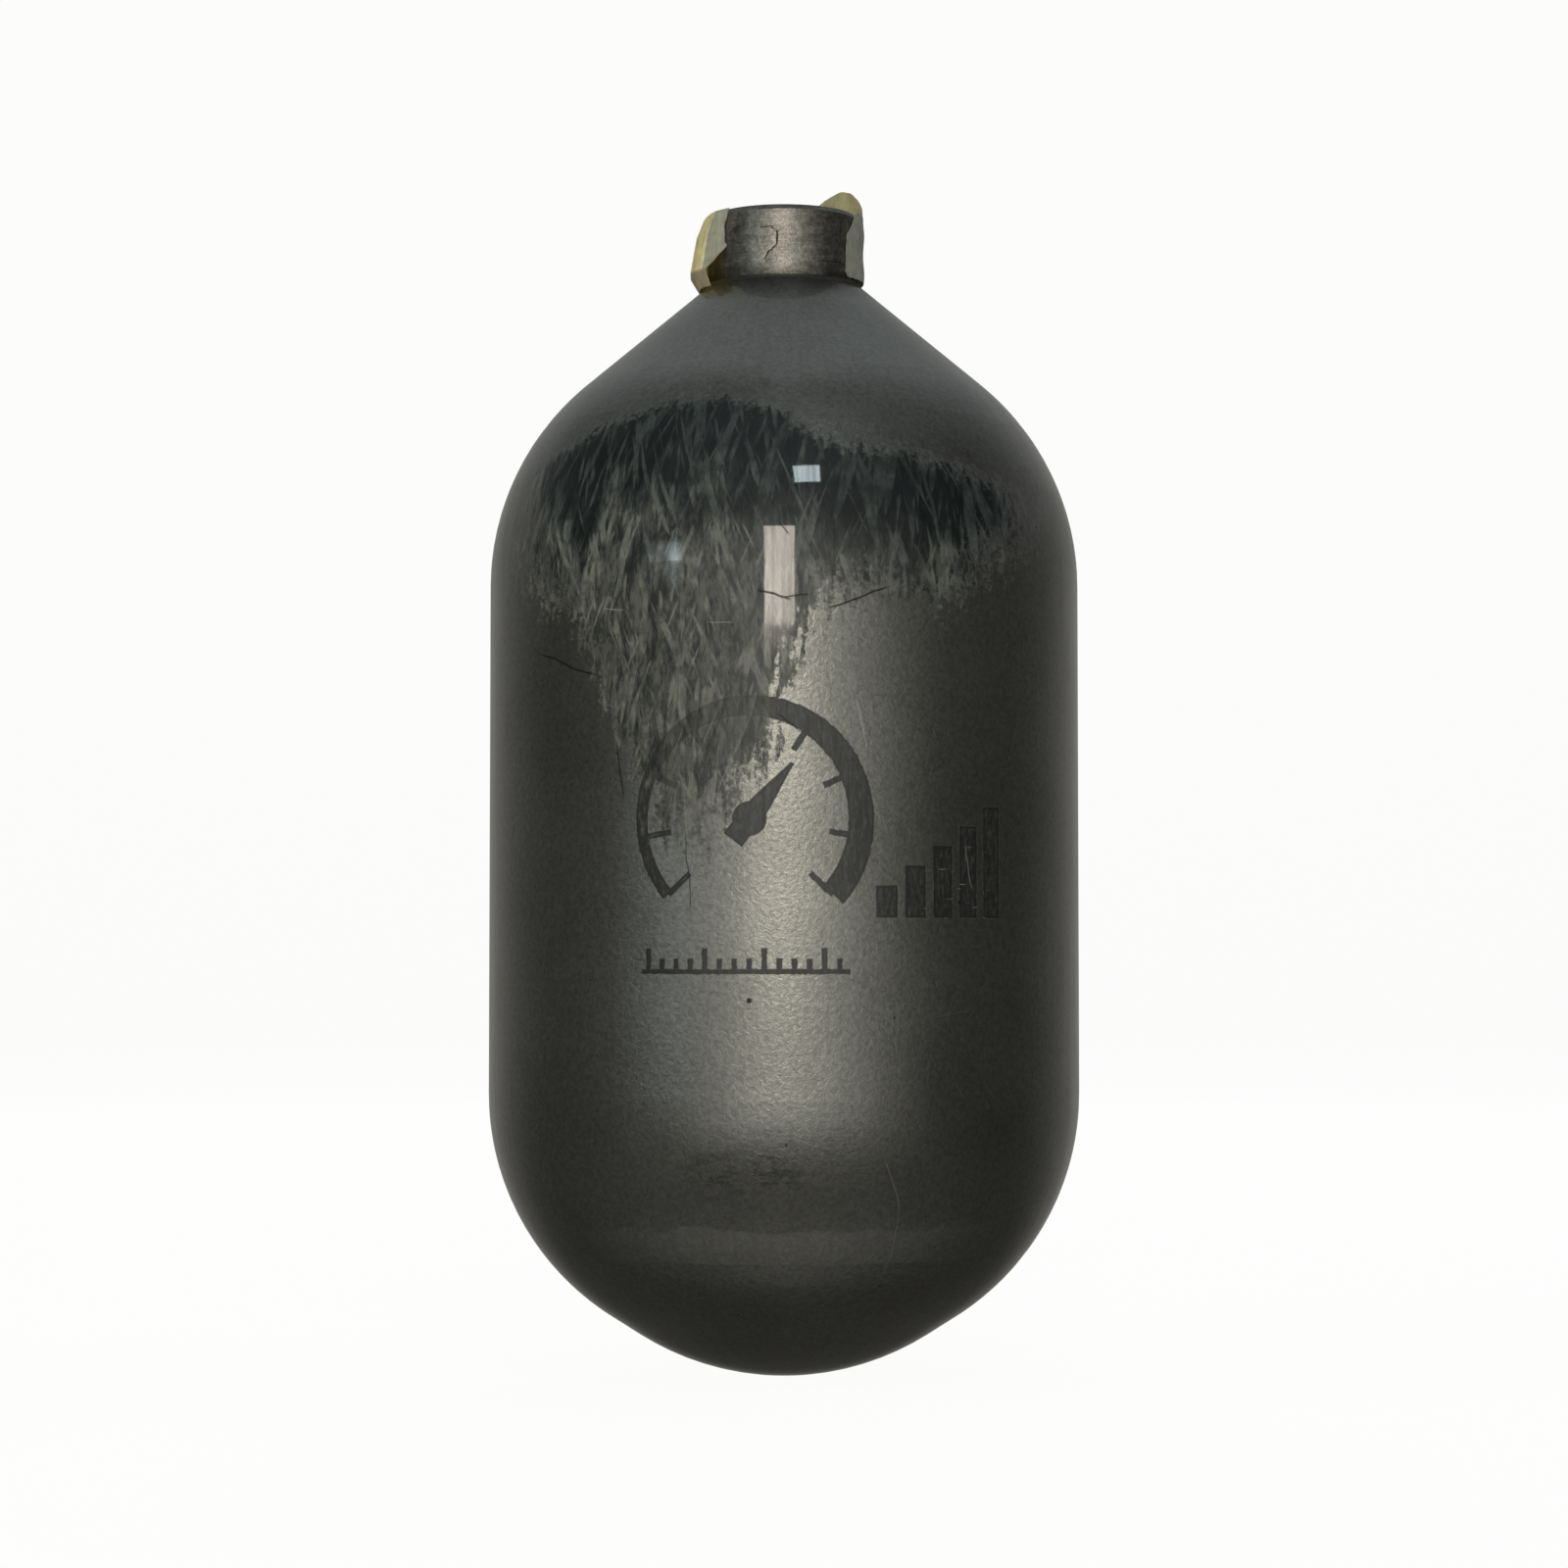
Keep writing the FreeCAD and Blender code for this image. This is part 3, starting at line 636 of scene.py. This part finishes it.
def tape_material():
    """Aged crepe masking tape: fine upright creping, blotches and some light let through, with painted
    light on the facet behind the ridge and a painted highlight along the ridge.
    """
    material, tree, shader = new_material("masking_tape")
    g = Place(tree, NECK_R)
    crepe = g.noise(g.stretched(0, 9.0), 0.32, 3.0, 0.6)
    blotch = g.noise(g.point, 2.6, 3.0, 0.6)
    left = g.smooth(g.bearing, -40.0, -60.0)
    folded = g.mul(g.smooth(g.z, CREASE_Z + 0.3, CREASE_Z - 0.3), left)
    above = g.smooth(g.z, RIM_Z - 0.2, RIM_Z + 0.8)
    # Painted light on the facet behind the ridge
    painted_light_behind_ridge = g.smooth(g.bearing, RIDGE_BEARING + 1.0, RIDGE_BEARING - 1.0)
    colour = g.mix(left, TAPE_RIGHT, TAPE_LEFT)
    colour = g.mix(painted_light_behind_ridge, colour, TAPE_PAINTED_LIGHT_BEHIND_RIDGE)
    # Painted highlight along the ridge, fading out near the rim
    ridge = g.smooth(g.size(g.sub(g.bearing, RIDGE_BEARING)), 1.8, 0.5)
    colour = g.mix(g.mul(ridge, g.smooth(g.z, RIM_Z - 1.5, RIM_Z - 4.0)), colour, TAPE_RIDGE_PAINTED_HIGHLIGHT)
    colour = g.mix(above, colour, TAPE_TONGUE)
    colour = g.mix(folded, colour, TAPE_FOLDED)
    tone = g.mul(g.smooth(crepe, 0.25, 0.75, 0.86, 1.10), g.smooth(blotch, 0.3, 0.7, 0.84, 1.10))
    colour = g.shade(colour, tone)
    finish(g, shader, {
        "Base Color": colour,
        "Roughness": g.smooth(blotch, 0.3, 0.7, 0.55, 0.75),
        "Specular IOR Level": 0.35,
        "Normal": g.bump(crepe, 0.0002, 0.5),
    })
    through = g.node("BsdfTranslucent", {"Color": g.shade(colour, 0.9)})
    mixed = g.node("MixShader", {0: 0.30})
    g.put(mixed.inputs[1], shader.outputs[0])
    g.put(mixed.inputs[2], through.outputs[0])
    g.put(tree.nodes["Material Output"].inputs["Surface"], mixed.outputs[0])
    return material


def dress(name, material):
    """Gives a CAD node one material."""
    mesh = nodes[name].data
    mesh.materials.clear()
    mesh.materials.append(material)


helical = ply_material("carbon_helical", *CARBON, 14)
hoop = ply_material("carbon_hoop", *CARBON, 86)
glass_ply = ply_material("glass_ply", *GLASS_FIBRE, 20)
dress("gel_coat", gel_coat_material())
dress("liner", liner_material())
dress("data_label", label_material())
for node_name in ("inner_helical_wrap", "middle_helical_wrap", "outer_helical_wrap"):
    dress(node_name, helical)
for node_name in ("inner_hoop_wrap", "outer_hoop_wrap"):
    dress(node_name, hoop)
for node_name in ("glass_wrap", "barrier_wrap"):
    dress(node_name, glass_ply)
dress("base_plug", ply_material("resin", *RESIN, 40))


# Masking tape, as creased sheets with torn ends
def ease(value, start, end):
    """Smooth step from 0 to 1 as value goes from start to end, which may be the lower."""
    t = min(max((value - start) / (end - start), 0.0), 1.0)
    return t * t * (3 - 2 * t)


def broken_line(value, corners):
    """Straight stretches between (input, output) corners."""
    for (x0, y0), (x1, y1) in zip(corners, corners[1:]):
        if value <= x1:
            return y0 + (y1 - y0) * max(value - x0, 0.0) / (x1 - x0)
    return corners[-1][1]


def wander(place, size, reach, seed):
    """Unevenness of about reach either way, with features about size long."""
    return reach * noise.fractal(Vector((place / size, seed, 0.0)), 1.0, 2.0, 3)


def sheet(name, node, first, last, low, high, stand_off, material):
    """Sheet round the neck between two torn ends and two edges, with a thickness.

    first and last give the ends' bearings at a share of the height, low and high give the edges'
    heights at a bearing, and stand_off gives the gap to the neck at a bearing and height.
    """
    columns, rows = TAPE_GRID
    made = bmesh.new()
    layers = []
    for lift in (0.0, TAPE_THICKNESS):
        grid = []
        for i in range(columns + 1):
            column = []
            for j in range(rows + 1):
                t = j / rows
                bearing = first(t) + (last(t) - first(t)) * i / columns
                z = low(bearing) + (high(bearing) - low(bearing)) * t
                crinkle = TAPE_CRINKLE * noise.noise(Vector((bearing / 3.0, z / 2.2, 5.0)))
                r = NECK_R + TAPE_CLEAR + max(stand_off(bearing, z) + crinkle, 0.0) + lift
                turn = math.radians(bearing)
                x, y = r * math.sin(turn), -r * math.cos(turn)
                column.append(made.verts.new((x * MM, y * MM, z * MM)))
            grid.append(column)
        layers.append(grid)
    inner, outer = layers
    for i in range(columns):
        for j in range(rows):
            made.faces.new((outer[i][j], outer[i + 1][j], outer[i + 1][j + 1], outer[i][j + 1]))
            made.faces.new((inner[i][j + 1], inner[i + 1][j + 1], inner[i + 1][j], inner[i][j]))
    loop = [(i, 0) for i in range(columns)] + [(columns, j) for j in range(rows)]
    loop += [(i, rows) for i in range(columns, 0, -1)] + [(0, j) for j in range(rows, 0, -1)]
    for (a, b), (c, d) in zip(loop, loop[1:] + loop[:1]):
        made.faces.new((inner[a][b], inner[c][d], outer[c][d], outer[a][b]))
    mesh = bpy.data.meshes.new(name)
    made.to_mesh(mesh)
    made.free()
    for polygon in mesh.polygons:
        polygon.use_smooth = True
    mesh.set_sharp_from_angle(angle=SHARP_ANGLE)
    mesh.materials.append(material)
    piece = bpy.data.objects.new(name, mesh)
    bpy.context.scene.collection.objects.link(piece)
    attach(piece, "root")
    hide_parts(node)


def pleat_share(bearing):
    """How much of the left piece's full pleat there is at a bearing."""
    return ease(bearing, -126, -108) * ease(bearing, -46, -57)


def left_low(bearing):
    return TAPE_FOOT_Z - 1.6 * pleat_share(bearing) + wander(bearing, 9.0, 0.10, 2.0)


def left_high(bearing):
    return RIM_Z - BELOW_RIM - 1.1 * ease(bearing, -57, -80) * ease(bearing, -150, -110)


def left_stand_off(bearing, z):
    ripple = 0.25 * math.sin(math.radians(bearing * 9)) * ease(bearing, -105, -90)
    return (broken_line(z, PLEAT_FOLD) + ripple) * pleat_share(bearing)


def left_torn_end(t):
    return broken_line(t, LEFT_TEAR) + wander(t, 0.10, TORN_DEPTH, 8.0)


def right_low(bearing):
    return TAPE_FOOT_Z + wander(bearing, 7.0, 0.15, 4.0)


def right_high(bearing):
    """The rim, with a rounded tongue above it at the back."""
    share = min(abs(bearing - TONGUE_MIDDLE) / TONGUE_HALF, 1.0)
    rise = (1 - share ** 1.7) ** 1.15
    return RIM_Z - BELOW_RIM + (TONGUE_Z - RIM_Z) * rise + wander(bearing, 8.0, 0.12, 6.0)


def right_stand_off(bearing, z):
    slack = 0.35 * ease(bearing, 56, 76) * ease(bearing, 122, 104)
    curl = 0.05 * max(z - RIM_Z, 0.0) ** 1.5
    return slack * (0.7 + 0.3 * math.sin(z * 0.9)) + curl


def right_torn_end(t):
    return broken_line(t, RIGHT_TEAR) + wander(t, 0.10, TORN_DEPTH, 9.0)


def left_back_end(t):
    return LEFT_BACK_END + wander(t, 0.2, 2.0, 1.0)


def right_back_end(t):
    return RIGHT_BACK_END + wander(t, 0.2, 1.5, 3.0)


tape = tape_material()
sheet("masking_tape_left", "neck_tape_left", left_back_end, left_torn_end,
      left_low, left_high, left_stand_off, tape)
sheet("masking_tape_right", "neck_tape_right", right_torn_end, right_back_end,
      right_low, right_high, right_stand_off, tape)


def backdrop():
    """Floor that curves up into a wall behind the object."""
    width, near, far, bend, height = 6.0, -3.0, 3.0, 1.5, 4.0
    outline = [(near, 0.0), (far - bend, 0.0)]
    for step in range(1, SWEEP_STEPS + 1):
        angle = math.radians(90 * step / SWEEP_STEPS)
        outline.append((far - bend + bend * math.sin(angle), bend - bend * math.cos(angle)))
    outline.append((far, height))
    mesh = bpy.data.meshes.new("sweep")
    made = bmesh.new()
    rows = []
    for y, z in outline:
        rows.append([made.verts.new((side * width / 2, y, z)) for side in (-1, 1)])
    for (a, b), (c, d) in zip(rows, rows[1:]):
        made.faces.new((a, b, d, c))
    made.to_mesh(mesh)
    made.free()
    for polygon in mesh.polygons:
        polygon.use_smooth = True
    sweep = bpy.data.objects.new("sweep", mesh)
    bpy.context.scene.collection.objects.link(sweep)
    material, tree, shader = new_material("sweep")
    finish(Graph(tree), shader, {
        "Base Color": SWEEP_GREY,
        "Roughness": 0.9,
        "Specular IOR Level": 0.0,
        "Emission Color": STAGE_WHITE,
        "Emission Strength": STAGE_LEVEL,
    })
    mesh.materials.append(material)
    sweep.visible_glossy = False
    sweep.visible_diffuse = False


def light_room():
    """Surroundings that the object mirrors: pale behind, dim beside, a glow in front, soft ceiling."""
    world = bpy.data.worlds.new("room")
    bpy.context.scene.world = world
    world.use_nodes = True
    g = Graph(world.node_tree)
    direction = g.node("TexCoord").outputs["Generated"]
    parts = g.node("SeparateXYZ", {0: direction}).outputs
    turn = g.math("DEGREES", g.math("ARCTAN2", parts["X"], g.mul(parts["Y"], -1)))
    away = g.size(turn)
    lift = g.math("DEGREES", g.math("ARCSINE", parts["Z"]))

    behind = g.mul(g.smooth(away, 95.0, 165.0), g.smooth(lift, -30.0, -3.0, 0.12, 1.0), BEHIND_LEVEL)
    walls = g.mul(g.between(turn, -67.0, 56.0, 2.5), g.smooth(lift, -28.0, -12.0), WALL_LEVEL)
    front = g.mul(g.smooth(away, 56.0, 6.0), g.smooth(lift, -27.0, -3.0), g.smooth(lift, 30.0, 0.0),
                  FRONT_LEVEL)
    ceiling = g.mul(g.smooth(lift, 30.0, 68.0), g.smooth(lift, 70.0, 86.0, 1.0, 0.8), CEILING_LEVEL)
    ripple = g.swing(g.noise(direction, 0.22, 4.0, 0.65), 3.0)
    edge = g.add(lift, g.mul(turn, turn, -0.0019), ripple)
    near_edge = g.mul(g.smooth(edge, -59.0, -60.0, 0.0, FLOOR_EDGE_LEVEL),
                      g.smooth(edge, -82.0, -61.0, 0.15, 1.0))
    ground = g.mul(g.smooth(away, 130.0, 25.0),
                   g.add(g.smooth(lift, -12.0, -24.0, 0.0, GROUND_LEVEL), near_edge))
    wide = g.smooth(g.size(g.add(turn, 48.0)), 8.0, 4.0, 0.0, PATCH_LEVELS[0])
    narrow = g.smooth(g.size(g.add(turn, 42.5)), 4.5, 1.0, 0.0, PATCH_LEVELS[1])
    patch = g.mul(g.smooth(lift, 5.7, 6.4), g.smooth(lift, 15.0, 9.5), g.add(wide, narrow))
    level = g.add(behind, walls, front, ceiling, ground, patch, EVERYWHERE_LEVEL)
    tint = g.mix(g.smooth(lift, 0.0, 50.0), WARM, COOL)
    tint = g.mix(g.low(patch, 1.0), tint, PATCH_TINT)
    seen = g.node("LightPath").outputs["Is Camera Ray"]
    background = world.node_tree.nodes["Background"]
    g.put(background.inputs["Color"], g.mix(seen, tint, STAGE_WHITE))
    g.put(background.inputs["Strength"], g.high(level, g.mul(seen, STAGE_LEVEL)))


def lamp(name, bearing, lift, distance, size, power, colour, mirrored):
    """Rectangular lamp aimed at the barrel, from a bearing and an elevation."""
    data = bpy.data.lights.new(name, "AREA")
    data.shape = "RECTANGLE"
    data.size, data.size_y = size
    data.energy = power
    data.color = colour
    made = bpy.data.objects.new(name, data)
    bpy.context.scene.collection.objects.link(made)
    b, e = math.radians(bearing), math.radians(lift)
    outward = Vector((math.sin(b) * math.cos(e), -math.cos(b) * math.cos(e), math.sin(e)))
    made.location = Vector((0, 0, LAMP_TARGET_Z)) + outward * distance
    made.rotation_mode = "QUATERNION"
    made.rotation_quaternion = outward.to_track_quat("Z", "Y")
    made.visible_camera = False
    made.visible_glossy = mirrored


def camera():
    """Camera in front of the cylinder, a little below its middle and looking up slightly."""
    data = bpy.data.cameras.new("camera")
    data.sensor_width = SENSOR_WIDTH
    data.angle = CAMERA_FIELD
    made = bpy.data.objects.new("camera", data)
    bpy.context.scene.collection.objects.link(made)
    out, down = math.cos(CAMERA_RISE) * CAMERA_DISTANCE, math.sin(CAMERA_RISE) * CAMERA_DISTANCE
    made.location = (0, -out, CAMERA_AIM_Z - down)
    made.rotation_euler = (math.radians(90) + CAMERA_RISE, 0, 0)
    bpy.context.scene.camera = made


backdrop()
light_room()
for row in LAMPS:
    lamp(*row)
camera()
bpy.context.scene.view_settings.view_transform = "Standard"
